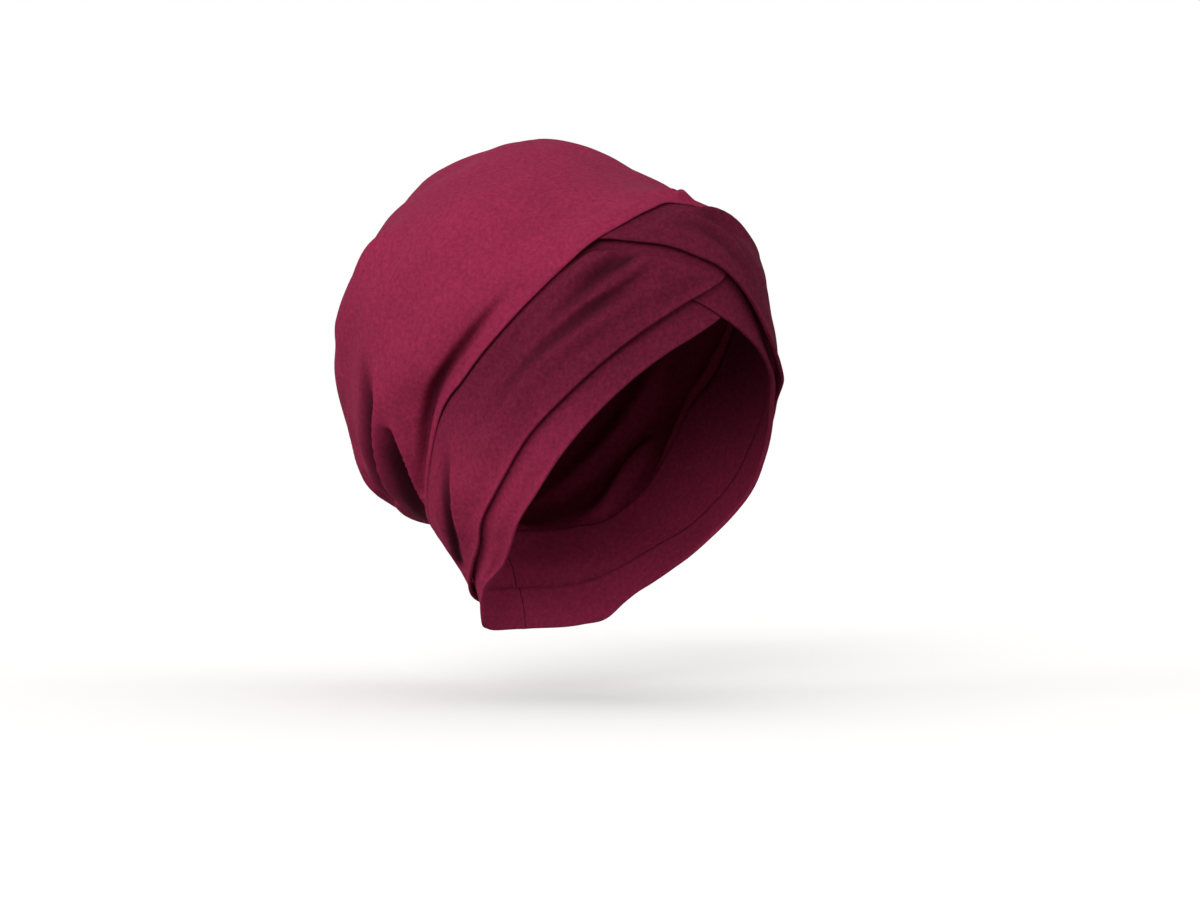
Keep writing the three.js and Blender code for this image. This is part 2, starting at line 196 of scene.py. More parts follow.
# How many layers lie under each piece: on the wearer's left, the angles between which that
# changes, over the forehead, the angles between which it changes again, and on the right.
LAYERS = {
    "right_edge_band": (0, -46, -34, 0, 34, 46, 0),
    "left_edge_band": (0, -46, -34, 1, 34, 46, 1),
    "right_wide_band": (2.1, -46, -34, 2.03, 34, 46, 1.15),
    "left_wide_band": (1.15, -52, -40, 3.36, 48, 60, 3.36),
    "crown": (2.35, -54, -42, 4.68, 48, 60, 2.35),
}
FRONT_SINK = 2.2  # how far the upper layers sink over the forehead
SINK_STARTS, SINK_FULL = -50.5, -36  # heights
SINK_FADES, SINK_ENDS = 24, 52  # angles on either side of the forehead
LEAST_SLOPE = 0.2  # the smallest slope of the head that a height is divided by

# A fold follows a path of (angle, across) places. Its heights, in millimetres, are spread evenly
# along the path, and it spreads over its widths to the left and right of it, seen from outside.
# A leaning fold also shifts to its left, by "lean" times its height.
Fold = namedtuple("Fold", "path heights left right lean", defaults=[0])
FOLD_SAMPLES = 90
FOLD_REACH = 3  # a fold has died out this many widths away from its path


def ramp(x, start, end):
    """Rises smoothly from 0 at the start to 1 at the end."""
    f = np.clip((x - start) / (end - start), 0, 1)
    return f * f * (3 - 2 * f)


def smooth_curve(knots, values):
    """A smooth curve through values at knots, whose slopes follow the neighbouring values."""
    knots = np.asarray(knots, float)
    values = np.asarray(values, float)
    spans = np.diff(knots)
    wide = spans.reshape((-1,) + (1,) * (values.ndim - 1))
    rises = np.diff(values, axis=0) / wide
    middle = (rises[:-1] * wide[1:] + rises[1:] * wide[:-1]) / (wide[1:] + wide[:-1])
    slopes = np.concatenate([rises[:1], middle, rises[-1:]])

    def curve(x):
        x = np.clip(np.asarray(x, float), knots[0], knots[-1])
        i = np.clip(np.searchsorted(knots, x, side="right") - 1, 0, len(knots) - 2)
        shape = x.shape + (1,) * (values.ndim - 1)
        span = spans[i].reshape(shape)
        f = (x - knots[i]).reshape(shape) / span
        g = 1 - f
        return (
            (1 + 2 * f) * g * g * values[i] + f * g * g * span * slopes[i]
            + f * f * (3 - 2 * f) * values[i + 1] - f * f * g * span * slopes[i + 1]
        )

    return curve


head_curve = smooth_curve(HEAD_SECTIONS["z"], np.stack(
    [HEAD_SECTIONS[name] for name in ("centre_y", "half_width", "half_length")], axis=-1
))
edge_curves = {
    name: smooth_curve(BAND_EDGES["angle"], BAND_EDGES[name])
    for name in ("hem", "mid_right", "mid_left", "seam")
}


def on_head(angle, z):
    """A point of the head at an angle from the forehead, toward the wearer's right, and a
    height."""
    t = np.radians(angle)
    centre_y, half_width, half_length = np.moveaxis(head_curve(z), -1, 0)
    x = -half_width * np.sin(t) * (1 - HEAD_TAPER * np.cos(t))
    y = centre_y - half_length * np.cos(t)
    return np.stack(np.broadcast_arrays(x, y, z), axis=-1)


def unit(vectors):
    """The same directions, each of length 1."""
    return vectors / np.maximum(np.linalg.norm(vectors, axis=-1, keepdims=True), 1e-9)


def normal_at(surface, u, v, step_u, step_v):
    """The outward direction of a surface at the places (u, v)."""
    along_u = surface(u + step_u, v) - surface(u - step_u, v)
    along_v = surface(u, v + step_v) - surface(u, v - step_v)
    return unit(np.cross(along_v, along_u))


def head_normal(angle, z):
    """The outward direction of the head."""
    return normal_at(on_head, angle, z, 0.1, 0.3)


def stand_off(name, angle, z):
    """How far a piece's inner side stands off the head. Over the forehead, above the edge bands,
    there are fewer layers underneath, so the wide bands and the rim sink."""
    left, left_from, left_to, front, right_from, right_to, right = LAYERS[name]
    count = left + (front - left) * ramp(angle, left_from, left_to)
    count = count + (right - front) * ramp(angle, right_from, right_to)
    sink = ramp(z, SINK_STARTS, SINK_FULL) * (1 - ramp(np.abs(angle), SINK_FADES, SINK_ENDS))
    return count * LAYER_PITCH - FRONT_SINK * sink


def seam_height(angle):
    """The height of the seam between the crown and the wide bands."""
    return edge_curves["seam"](np.abs(angle))


def climb(angle, distance):
    """A distance up the slope of the head at the seam, as a change of height."""
    normal = head_normal(angle, seam_height(angle))
    return distance * np.hypot(normal[..., 0], normal[..., 1])


def fold_heights(points, normals, surface, folds):
    """The height of a set of folds at each point of a smooth surface, and their sideways shift."""
    total = np.zeros(points.shape[:-1])
    sideways = np.zeros(points.shape)
    for fold in folds:
        path = np.array(fold.path, float)
        knots = np.linspace(0, 1, len(path))
        samples = np.linspace(0, 1, FOLD_SAMPLES)
        line = surface(*smooth_curve(knots, path)(samples).T)
        widest = max(np.max(fold.left), np.max(fold.right))
        near = np.all(
            (points > line.min(axis=0) - FOLD_REACH * widest)
            & (points < line.max(axis=0) + FOLD_REACH * widest),
            axis=-1,
        )
        here = points[near]
        if not len(here):
            continue
        starts, steps = line[:-1], np.diff(line, axis=0)
        share = np.einsum("psk,sk->ps", here[:, None] - starts[None], steps)
        share = np.clip(share / np.sum(steps * steps, axis=-1), 0, 1)
        away = here[:, None] - (starts[None] + share[..., None] * steps[None])
        distance = np.linalg.norm(away, axis=-1)
        best = np.argmin(distance, axis=1)
        pick = np.arange(len(here))
        away = away[pick, best]
        raised = np.sum(away * normals[near], axis=-1, keepdims=True)
        distance = np.linalg.norm(away - raised * normals[near], axis=-1)
        along = (best + share[pick, best]) / len(steps)
        leftward = unit(np.cross(normals[near], steps[best]))
        to_left = ramp(np.sum(leftward * away, axis=-1), -0.5, 0.5)
        spread_of = [
            np.interp(along, np.linspace(0, 1, np.size(w)), np.atleast_1d(w))
            for w in (fold.right, fold.left)
        ]
        width = spread_of[0] + (spread_of[1] - spread_of[0]) * to_left
        height = smooth_curve(np.linspace(0, 1, len(fold.heights)), fold.heights)(along)
        height = height * np.exp(-((distance / width) ** 2))
        total[near] += height
        sideways[near] += fold.lean * height[..., None] * leftward
    return total, sideways


def waviness(points, size, seed):
    """Smooth random numbers from -1 to 1 over a surface, changing over a size in millimetres."""
    flat = points.reshape(-1, 3)
    shift = Vector((seed * 17.3, seed * 5.1, seed * 9.7))
    values = [noise.noise(Vector(p) / size + shift) for p in flat]
    return np.array(values).reshape(points.shape[:-1])


def sheet_mesh(name, points, cloth, fold_shade_share, material, ring=False, pole=None, flip=False):
    """A sheet of jersey with its thickness, from rows of points on its outer side in millimetres
    and the same rows of places on the flat cloth. "depth" gives each point its share of painted
    shade down in the folds, from 0 to 1. A ring closes on itself and on a pole."""
    rows, steps = points.shape[:2]
    vertices = points.reshape(-1, 3)
    places = cloth.reshape(-1, 2)
    row, step = np.meshgrid(
        np.arange(rows - 1), np.arange(steps if ring else steps - 1), indexing="ij"
    )
    after = (step + 1) % steps
    faces = np.stack([
        row * steps + step, (row + 1) * steps + step,
        (row + 1) * steps + after, row * steps + after,
    ], axis=-1).reshape(-1, 4).tolist()
    if pole is not None:
        vertices = np.concatenate([vertices, pole[None]])
        places = np.concatenate([places, [[0, 0]]])
        fold_shade_share = np.append(fold_shade_share, 0)
        last = (rows - 1) * steps
        faces += [[last + i, rows * steps, last + (i + 1) % steps] for i in range(steps)]
    if flip:
        faces = [face[::-1] for face in faces]
    mesh = bpy.data.meshes.new(name + "_sheet")
    mesh.from_pydata((vertices * MM).tolist(), [], faces)
    uv = mesh.uv_layers.new(name="cloth")
    corners = np.zeros(len(mesh.loops), int)
    mesh.loops.foreach_get("vertex_index", corners)
    uv.data.foreach_set("uv", (places[corners] * MM).astype(np.float32).ravel())
    # Painted shade: each point's share of the dark fold colour goes to the material as an
    # attribute.
    painted_fold_shade = mesh.attributes.new("painted_fold_shade", "FLOAT", "POINT")
    painted_fold_shade.data.foreach_set("value", np.ravel(fold_shade_share).astype(np.float32))
    draft = place(bpy.data.objects.new(name + "_draft", mesh))
    thickness = draft.modifiers.new("thickness", "SOLIDIFY")
    thickness.thickness = CLOTH_WALL * MM
    thickness.offset = -1
    finished = bpy.data.meshes.new_from_object(
        draft.evaluated_get(bpy.context.evaluated_depsgraph_get())
    )
    bpy.data.objects.remove(draft)
    finished.name = name
    finished.materials.clear()
    finished.materials.append(material)
    finished.polygons.foreach_set("use_smooth", [True] * len(finished.polygons))
    return place(bpy.data.objects.new(name, finished))


BAND_STATIONS = 300
FOLD_TURNS = 9  # steps round the soft folded edge
SOFT_EDGE = 1.0  # radius of that edge
SOFT_FADE = 3.5  # how far from the edge the fullness dies out
LIFT_FADE = 6  # how far from the edge a band lies down again


def band_points(name, side, start, lower, upper, inner_rows, outer_rows, swell, edge_shown,
                edge_lift):
    """Rows of points round a folded band: down its inner leaf, round the soft lower edge and up its
    outer leaf. "swell" gives how far the outer leaf stands up, its shift sideways and its share of
    painted shade down in a fold. The folded edge is full where "edge_shown" is 1, and stands off by
    "edge_lift" there."""
    own = np.linspace(start, 180 - NAPE_GAP, BAND_STATIONS)
    azimuth = side * own
    low, high = lower(own), upper(own)
    normal = head_normal(azimuth, (low + high) / 2)
    width = (high - low) / np.maximum(np.hypot(normal[:, 0], normal[:, 1]), LEAST_SLOPE)
    shown = edge_shown(own)
    radius = BAND_WALL / 2 + (SOFT_EDGE - BAND_WALL / 2) * shown

    def row(up, offset):
        z = low + (high - low) * up / width
        off = stand_off(name, azimuth, z) + edge_lift * shown * np.exp(-up / LIFT_FADE) + offset
        return on_head(azimuth, z) + head_normal(azimuth, z) * off[:, None]

    rows, across = [], []
    for f in inner_rows:
        up = radius + (width - radius) * f
        rows.append(row(up, np.zeros_like(own)))
        across.append(-up)
    for k in range(1, FOLD_TURNS):
        turned = math.pi * k / FOLD_TURNS
        rows.append(row(radius * (1 - math.sin(turned)), radius * (1 - math.cos(turned))))
        across.append(radius * (turned - math.pi / 2))
    outer = []
    for f in outer_rows:
        up = radius + (width - radius) * f
        fullness = (2 * radius - BAND_WALL) * np.exp(-(up - radius) / SOFT_FADE)
        outer.append(row(up, BAND_WALL + fullness))
        across.append(up)
    outer = np.array(outer)
    own_grid = np.broadcast_to(own, outer.shape[:2])
    share = np.array(outer_rows)[:, None] * np.ones_like(own_grid)
    z = outer[..., 2]
    outer_normal = head_normal(side * own_grid, z)
    lift, sideways, outer_fold_shade_share = swell(own_grid, share, outer, outer_normal)
    outer = outer + outer_normal * lift[..., None] + sideways
    points = np.concatenate([np.array(rows), outer])
    fold_shade_share = np.concatenate([np.zeros((len(rows), BAND_STATIONS)), outer_fold_shade_share])
    middle = on_head(azimuth, (low + high) / 2)
    length = np.concatenate([[0], np.cumsum(np.linalg.norm(np.diff(middle, axis=0), axis=-1))])
    cloth = np.stack(np.broadcast_arrays(np.array(across), length), axis=-1)
    return points, cloth, fold_shade_share


def place_on_band(side, lower, upper):
    """The point of the head at an own angle and a share of the way from a band's lower edge to
    its upper edge."""
    def surface(own, share):
        low = lower(own)
        return on_head(side * own, low + (upper(own) - low) * share)
    return surface


def finish_sheet(piece, node):
    """Attaches a piece to the root body and hides the imported part of the node that it stands for.
    """
    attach(piece, "root")
    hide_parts(node)


EDGE_INNER_ROWS, EDGE_OUTER_ROWS = 12, 34
EDGE_CROWDING = 1.2  # crowds the outer rows toward the folded edge
EDGE_LIFT = 0.3  # how far the folded edge stands off what it lies on


def edge_band(name, side, folds):
    """A narrow band on the wearer's right (side 1) or left (side -1)."""
    lower = edge_curves["hem"]
    middle = edge_curves["mid_right" if side > 0 else "mid_left"]

    def upper(own):
        return middle(own) + EDGE_TUCK

    surface = place_on_band(side, lower, middle)

    def swell(own, share, points, normals):
        lifted, sideways = fold_heights(points, normals, surface, folds)
        free = ramp(middle(own) - points[..., 2], -1, 5)
        return lifted * free, sideways * free[..., None], 0 * lifted

    points, cloth, fold_shade_share = band_points(
        name, side, EDGE_BAND_START, lower, upper, np.linspace(1, 0, EDGE_INNER_ROWS),
        np.linspace(0, 1, EDGE_OUTER_ROWS) ** EDGE_CROWDING, swell,
        lambda own: ramp(own, *EDGE_SHOWS), EDGE_LIFT,
    )
    piece = sheet_mesh(name, points, cloth, fold_shade_share, band_cloth, flip=side < 0)
    finish_sheet(piece, name)


# The real ribs of the knit are 0.6 mm apart, its rows of stitches 0.45 mm and the tufts of its
# nap 0.3 mm. All three are drawn coarser, so that they still show a little.
RIB_SPACING, COURSE_SPACING = 0.95, 0.75
NAP_TUFT = 0.91
YARN_SLUB = 2.08  # thicker stretches of yarn
WORN_PATCH = 36  # paler where the nap has rubbed off in washing
FUZZ_HEIGHT = 0.16
NAP_SHARE, WEAR_SHARE = 0.55, 0.3  # their part in the unevenness of the dye, beside the yarn's
PAINTED_SHADE_FROM, PAINTED_SHADE_FULL = -185, -100  # heights between which the bands' painted shade comes in
# Painted shade: down in the folds the cloth is painted nearly black, where shade falls.
FOLD_SHADE = "#300b17"


def jersey(name, dark, light, deep=None):
    """Weft-knitted cotton jersey, brushed a little and washed. To the eye it is quite matt, with
    fine ribs of stitches and a faint unevenness in the yarn. Shade is painted into its colour:
    nearly black down in the folds and, if a deep colour is given, deeper high up at the forehead
    and lighter toward the hem, standing in for light from below."""
    material = bpy.data.materials.new(name)
    material.use_nodes = True
    tree = material.node_tree
    tree.nodes.clear()
    cloth = add_node(tree, "ShaderNodeUVMap", uv_map="cloth").outputs["UV"]
    place_on_cap = add_node(tree, "ShaderNodeTexCoord").outputs["Object"]

    stitches = (1 / (RIB_SPACING * MM), 1 / (COURSE_SPACING * MM), 0)
    scaled = add_node(tree, "ShaderNodeVectorMath", {0: cloth, 1: stitches},
                      operation="MULTIPLY").outputs["Vector"]
    axes = add_node(tree, "ShaderNodeSeparateXYZ", {"Vector": scaled}).outputs
    side = add_node(tree, "ShaderNodeMath", {0: axes["X"], 1: 0.5}, operation="PINGPONG").outputs[0]
    slanted = add_node(tree, "ShaderNodeMath", {0: axes["Y"], 1: side}, operation="ADD").outputs[0]
    stitch = add_node(tree, "ShaderNodeMath", {0: slanted, 1: 0.5}, operation="PINGPONG").outputs[0]
    knit = add_node(tree, "ShaderNodeMath", {0: stitch, 1: side}, operation="MULTIPLY").outputs[0]

    nap = add_node(tree, "ShaderNodeTexNoise", {
        "Vector": place_on_cap, "Scale": 1 / (NAP_TUFT * MM), "Detail": 3.0, "Roughness": 0.6,
    }).outputs["Fac"]
    yarn = add_node(tree, "ShaderNodeTexNoise", {
        "Vector": place_on_cap, "Scale": 1 / (YARN_SLUB * MM), "Detail": 2.0, "Roughness": 0.55,
    }).outputs["Fac"]
    wear = add_node(tree, "ShaderNodeTexNoise", {
        "Vector": place_on_cap, "Scale": 1 / (WORN_PATCH * MM), "Detail": 2.0, "Roughness": 0.5,
    }).outputs["Fac"]

    relief = add_node(tree, "ShaderNodeMath", {0: knit, 1: 1.6, 2: nap},
                      operation="MULTIPLY_ADD").outputs[0]
    bump = add_node(tree, "ShaderNodeBump", {
        "Height": relief, "Strength": 0.85, "Distance": FUZZ_HEIGHT * MM,
    }).outputs["Normal"]

    mottle = add_node(tree, "ShaderNodeMath", {0: nap, 1: NAP_SHARE, 2: yarn},
                      operation="MULTIPLY_ADD").outputs[0]
    mottle = add_node(tree, "ShaderNodeMath", {0: wear, 1: WEAR_SHARE, 2: mottle},
                      operation="MULTIPLY_ADD").outputs[0]
    shade = add_node(tree, "ShaderNodeMapRange", {
        "Value": mottle, "From Min": 0.65, "From Max": 1.25, "To Min": 0.0, "To Max": 1.0,
    }).outputs["Result"]
    colour = add_node(tree, "ShaderNodeMix", {
        "Factor": shade, 6: linear(dark), 7: linear(light),
    }, data_type="RGBA").outputs[2]
    if deep:
        # Painted shade: the colour goes deeper high up, toward the forehead, and stays lighter low
        # on the bands, standing in for light from below.
        height = add_node(tree, "ShaderNodeSeparateXYZ", {"Vector": place_on_cap}).outputs["Z"]
        painted_height_shade = add_node(tree, "ShaderNodeMapRange", {
            "Value": height, "From Min": PAINTED_SHADE_FROM * MM, "From Max": PAINTED_SHADE_FULL * MM,
            "To Min": 0.0, "To Max": 1.0,
        }, interpolation_type="SMOOTHSTEP").outputs["Result"]
        painted_shade_colour = add_node(tree, "ShaderNodeMix", {
            "Factor": shade, 6: linear(deep[0]), 7: linear(deep[1]),
        }, data_type="RGBA").outputs[2]
        colour = add_node(tree, "ShaderNodeMix", {
            "Factor": painted_height_shade, 6: colour, 7: painted_shade_colour,
        }, data_type="RGBA").outputs[2]
    # Painted shade: the colour goes toward FOLD_SHADE by each point's share of shade down in the
    # folds.
    painted_fold_shade = add_node(tree, "ShaderNodeAttribute", attribute_name="painted_fold_shade").outputs["Fac"]
    colour = add_node(tree, "ShaderNodeMix", {
        "Factor": painted_fold_shade, 6: colour, 7: linear(FOLD_SHADE),
    }, data_type="RGBA").outputs[2]

    cotton = add_node(tree, "ShaderNodeBsdfPrincipled", {
        "Base Color": colour,
        "Normal": bump,
        "Roughness": 0.92,
        "IOR": 1.45,
        "Specular IOR Level": 0.05,
    })
    add_node(tree, "ShaderNodeOutputMaterial", {"Surface": cotton.outputs["BSDF"]})
    return material


# The whole cap is one maroon cloth. On the doubled bands a shade is painted in by height: deeper in
# colour high up at the forehead and lighter toward the hem, standing in for light from below.
band_cloth = jersey("maroon_jersey_doubled", dark="#6e1c35", light="#882544",
                    deep=("#460f21", "#601830"))

# Both bands swell softly along their middle. The right one buckles near the ear, and its hem
# rolls outward below that.
EDGE_SWELLING = Fold([(20, 0.55), (50, 0.5), (78, 0.5), (98, 0.5)], (0, 0.7, 1.0, 0), 4, 4)
RIGHT_EDGE_FOLDS = [
    EDGE_SWELLING,
    Fold([(86, 0.4), (95, 0.4), (104, 0.36), (112, 0.3)], (0, 1.6, 2.2, 0), 2.6, 3.2),
    Fold([(90, 0.02), (100, 0.04), (112, 0.06)], (0, 1.2, 0), 2.5, 2.5),
]

edge_band("right_edge_band", 1, RIGHT_EDGE_FOLDS)
edge_band("left_edge_band", -1, [EDGE_SWELLING])

# ---- wide bands ---------------------------------------------------------------------------------
# Two wide bands, also of jersey folded double, cross over the forehead, the left one on top. They
# are sewn to the crown along their upper edge, where the seam turns in and leaves a crevice, and
# the stretch toward the crossing draws them into long slanting folds.

SEAM_TUCK = 3.5  # how far a wide band goes on under the crown's rim
RIGHT_WIDE_START, LEFT_WIDE_START = -38, -46  # where they end, past the crossing
LEFT_WIDE_SHOWS = (-48, -40)  # the left wide band lies on top, so its edge shows to its end
CROWN_COVERS = (44, 54)  # angles over which the crown, not the left band, covers the right one
WIDE_INNER_ROWS, WIDE_OUTER_ROWS = 26, 90
WIDE_LIFT = 0.9  # how far the folded edge stands off what it lies on
CREVICE = 1.5  # how far from the seam the cloth dips into it
ROLL_WIDTH = 0.72  # of the roll's distance from the seam
RIGHT_ROLL, RIGHT_ROLL_AT = 0.9, 3.2  # height of the roll beside the seam, and its distance
LEFT_ROLL_AT = 3.8
LEFT_ROLL = smooth_curve(
    [-50, -20, -5, 4, 14, 30, 46, 180], [0.9, 1.2, 3.0, 4.8, 4.6, 2.2, 0.9, 0.9]
)
RIGHT_FULLNESS = 2.4
LEFT_FULLNESS = smooth_curve([-50, -10, 25, 46, 180], [0.6, 1.5, 1.3, 0.2, 0.2])
COVER_GAP = 0.8  # left between the band and the piece that covers it
DRAG_HEIGHT = 0.6  # height of the ripples that the stretch draws along a band
DRAG_LENGTH, DRAGS_ACROSS = 22, 7  # degrees along the band, and how many lie across it


def drag_lines(own, share, seed):
    """Low random ripples along a band, from -1 to 1."""
    apart = np.full_like(own, 3.7 * seed)  # so that the two bands differ
    places = np.stack([own / DRAG_LENGTH, share * DRAGS_ACROSS, apart], axis=-1)
    return waviness(places, 1, seed)


def close_at_ends(count):
    """Shares from 0 to 1 that lie closer together near both ends."""
    u = np.linspace(0, 1, count)
    return 0.5 * u + 0.5 * ramp(u, 0, 1)


def wide_band(name, side, fullness, folds, painted_shade_paths):
    """A wide band on the wearer's right (side 1) or left (side -1). Its middle stands off by its
    fullness, so that it has room to dip."""
    lower = edge_curves["mid_right" if side > 0 else "mid_left"]

    def upper(own):
        return seam_height(own) + climb(side * own, SEAM_TUCK)

    surface = place_on_band(side, lower, seam_height)

    def roll_beside_seam(own):
        return RIGHT_ROLL if side > 0 else LEFT_ROLL(own)

    def spare(own, z):
        """How much more room there is between the band and what lies on it near the crossing."""
        azimuth = side * own
        under_crown = ramp(own, *CROWN_COVERS)
        cover = stand_off("left_wide_band", azimuth, z) * (1 - under_crown)
        cover = cover + stand_off("crown", azimuth, z) * under_crown
        room = cover - stand_off(name, azimuth, z) - BAND_WALL - COVER_GAP
        return np.maximum(room, 0) * (side > 0)

    def below_cover(own, z):
        """How far a place on the right band lies below the left band's edge. Nothing covers the
        left band."""
        return edge_curves["mid_left"](-own) - z if side > 0 else np.full_like(z, np.inf)

    def swell(own, share, points, normals):
        z = points[..., 2]
        slope = np.maximum(np.hypot(normals[..., 0], normals[..., 1]), LEAST_SLOPE)
        to_seam = (seam_height(own) - z) / slope
        lifted, sideways = fold_heights(points, normals, surface, folds)
        # Painted shade: how dark the band is painted down in its folds, from 0 to 1.
        fold_shade_share = np.minimum(fold_heights(points, normals, surface, painted_shade_paths)[0], 1)
        roll_at = RIGHT_ROLL_AT if side > 0 else LEFT_ROLL_AT
        from_roll = (to_seam - roll_at) / (ROLL_WIDTH * roll_at)
        # The fullness dies out toward both edges, the roll lies beside the seam, and near the
        # crossing the band rises to meet what covers it.
        lifted = (
            lifted + fullness(own) * ramp(share, 0.02, 0.3) * ramp(to_seam, 0, 8)
            + roll_beside_seam(own) * np.exp(-(from_roll ** 2))
            + spare(own, z) * ramp(share, 0.4, 0.85)
            + DRAG_HEIGHT * drag_lines(own, share, side)
        )
        # Under what covers it, and down in the seam, the band lies flat.
        shown = ramp(below_cover(own, z), 0, 5) * ramp(to_seam, -0.1, CREVICE)
        return np.maximum(lifted, 0) * shown, sideways * shown[..., None], fold_shade_share * shown

    def edge_shown(own):
        return ramp(own, *(EDGE_SHOWS if side > 0 else LEFT_WIDE_SHOWS))

    points, cloth, fold_shade_share = band_points(
        name, side, RIGHT_WIDE_START if side > 0 else LEFT_WIDE_START, lower, upper,
        np.linspace(1, 0, WIDE_INNER_ROWS), close_at_ends(WIDE_OUTER_ROWS), swell, edge_shown,
        WIDE_LIFT,
    )
    piece = sheet_mesh(name, points, cloth, fold_shade_share, band_cloth, flip=side < 0)
    finish_sheet(piece, name)


# Painted shade down in the folds: paths like those of the folds, with shares of painted shade from
# 0 to 1.
RIGHT_WIDE_PAINTED_SHADE = [
    Fold([(101.8, 0.74), (101.6, 0.58), (101.9, 0.46), (102.5, 0.345), (105, 0.255),
          (111.5, 0.235), (120.5, 0.285)],
         (0, 0.4, 0.75, 0.95, 1, 1, 1), (1.6, 1.6, 2), (2.6, 3.4, 4)),
    Fold([(31, 0.78), (37, 0.71), (45, 0.735), (54, 0.7), (66, 0.68)],
         (0.5, 0.95, 0.8, 0.5, 0), 2.4, 2.6),
    Fold([(40, 0.48), (48, 0.5), (58, 0.51), (72, 0.53), (84, 0.47)],
         (0.3, 0.75, 0.65, 0.4, 0), 2.6, 2.6),
]
LEFT_WIDE_PAINTED_SHADE = [
    Fold([(-14, 0.5), (-5, 0.53), (4, 0.42), (10, 0.34), (17, 0.3), (28, 0.3)],
         (0.3, 0.5, 0.5, 0.3, 0), 3.5, 3.5),
    Fold([(-6, 0.72), (1, 0.74), (14, 0.66), (19, 0.5), (24, 0.4)], (0, 0.3, 0.3, 0.2, 0), 4, 4),
]
RIGHT_WIDE_FOLDS = [
    # Slanting pleats that run down from the crossing, with valleys between them.
    Fold([(35, 0.91), (42, 0.86), (48, 0.85), (58, 0.88), (70, 0.88)],
         (0.8, 2.2, 2.2, 1.2, 0), 3, 2.6, 0.3),
    Fold([(29, 0.8), (36, 0.74), (45, 0.735), (54, 0.7), (66, 0.68), (80, 0.66)],
         (0, -2.2, -2.4, -1.9, -0.9, 0), 2.8, 2.8),
    Fold([(26, 0.64), (31, 0.6), (37, 0.585), (45.5, 0.59), (54, 0.6), (66, 0.61), (80, 0.59)],
         (0, 1.8, 2.4, 2.2, 1.7, 0.9, 0), 2.4, 3.0, 0.3),
    Fold([(26, 0.45), (37, 0.47), (48, 0.49), (58, 0.5), (68, 0.52), (78, 0.5), (88, 0.42)],
         (0, -1.4, -2.2, -2.2, -1.8, -1.2, 0), 3.2, 4.4),
    Fold([(40, 0.36), (52, 0.38), (66, 0.41), (80, 0.38), (90, 0.3)], (0, 0.9, 1.2, 1.0, 0), 4, 4),
    Fold([(28, 0.27), (42, 0.24), (56, 0.25), (70, 0.27)], (0, -0.7, -0.9, 0), 3.5, 3.5),
    Fold([(60, 0.93), (68, 0.84), (78, 0.8), (88, 0.72)], (0, -1.5, -1.5, 0), 3, 3),
    # Folds that gather behind the ear: a valley with a sharp front edge between two ridges.
    Fold([(92, 0.5), (102, 0.42), (116, 0.36)], (0, 1.8, 0.6), 11, 10),
    Fold([(102, 0.78), (100.6, 0.62), (100.3, 0.45), (100.6, 0.31), (103.5, 0.21), (109, 0.175),
          (117, 0.21), (123, 0.235)],
         (0, -2.5, -4.5, -5.5, -6, -6, -6, -5), (1.8, 1.3, 1.3), (2.2, 2.6, 3.2)),
    Fold([(97.2, 0.72), (96.6, 0.45), (97.2, 0.28), (100.5, 0.15), (109, 0.1)],
         (0, 1.6, 2.4, 2.2, 0), 3.6, 1.6, -0.5),
    Fold([(97, 0.9), (104, 0.8), (106, 0.64), (107.4, 0.47), (109.6, 0.35)],
         (0, 1.6, 2.2, 2.0, 0.8), 2.2, 2.4),
]
LEFT_WIDE_FOLDS = [
    # Shallow valleys that curve along the band over the crossing, and the ridge between them.
    Fold([(-14, 0.5), (-5, 0.53), (4, 0.42), (10, 0.34), (17, 0.3), (28, 0.3)],
         (0, -1.0, -1.3, -1.2, -0.7, 0), 3.2, 3.2),
    Fold([(-12, 0.6), (-5, 0.63), (8, 0.55), (13, 0.43), (20, 0.37), (30, 0.38)],
         (0, 0.9, 1.3, 1.2, 0.7, 0), 3, 3),
    Fold([(-6, 0.72), (1, 0.74), (14, 0.66), (19, 0.5), (24, 0.42), (34, 0.42)],
         (0, -0.9, -1.2, -1.0, -0.6, 0), 3.2, 3.2),
    Fold([(105, 0.9), (106, 0.6), (104, 0.3)], (0, -1.6, 0), 4, 4),
]

wide_band("right_wide_band", 1, lambda own: RIGHT_FULLNESS, RIGHT_WIDE_FOLDS, RIGHT_WIDE_PAINTED_SHADE)
wide_band("left_wide_band", -1, LEFT_FULLNESS, LEFT_WIDE_FOLDS, LEFT_WIDE_PAINTED_SHADE)

# ---- crown --------------------------------------------------------------------------------------
# The crown is one sheet of jersey, a roomy bag over the top and back of the head. Its lower edge
# is sewn to the wide bands with the raw edges turned in, so that the cloth rolls over softly at
# the seam. Its weight and the pull of the bands draw it into deep folds low at the back.

CROWN_WALL = 1.2  # from the crown's outer side to what it lies on, at the seam
RIM_LIFT, RIM_ROLL = 6, 0.6  # the rolled rim reaches this far up, and stands off this much more
RIM_ALONG = 0.035  # where that is, as a share of the way from the seam to the top

# Hoops of the bag from the rim to the top, given by their front, side and back points. "along" is
# how far each is on the way from the seam to the top, and "taper" narrows it toward its front.
CROWN_HOOPS = table(
    "along front_y front_z side_y side_z half_width back_y back_z taper", [
        (0.12, -83, -27, -22, -98, 90, 72, -189, 0.24),
        (0.25, -72, -25.5, -12, -82, 92, 101, -174, 0.28),
        (0.4, -60, -22, -4, -62, 90.5, 115, -138, 0.32),
        (0.55, -45, -16, 0, -42, 79, 117, -100, 0.38),
        (0.7, -28, -8, 6, -24, 60, 109.5, -54, 0.42),
        (0.85, -8, 0, 11, -7, 36, 92, -16, 0.4),
        (1, 24, 3.4, 24, 3.4, 0, 24, 3.4, 0.4),
    ],
)

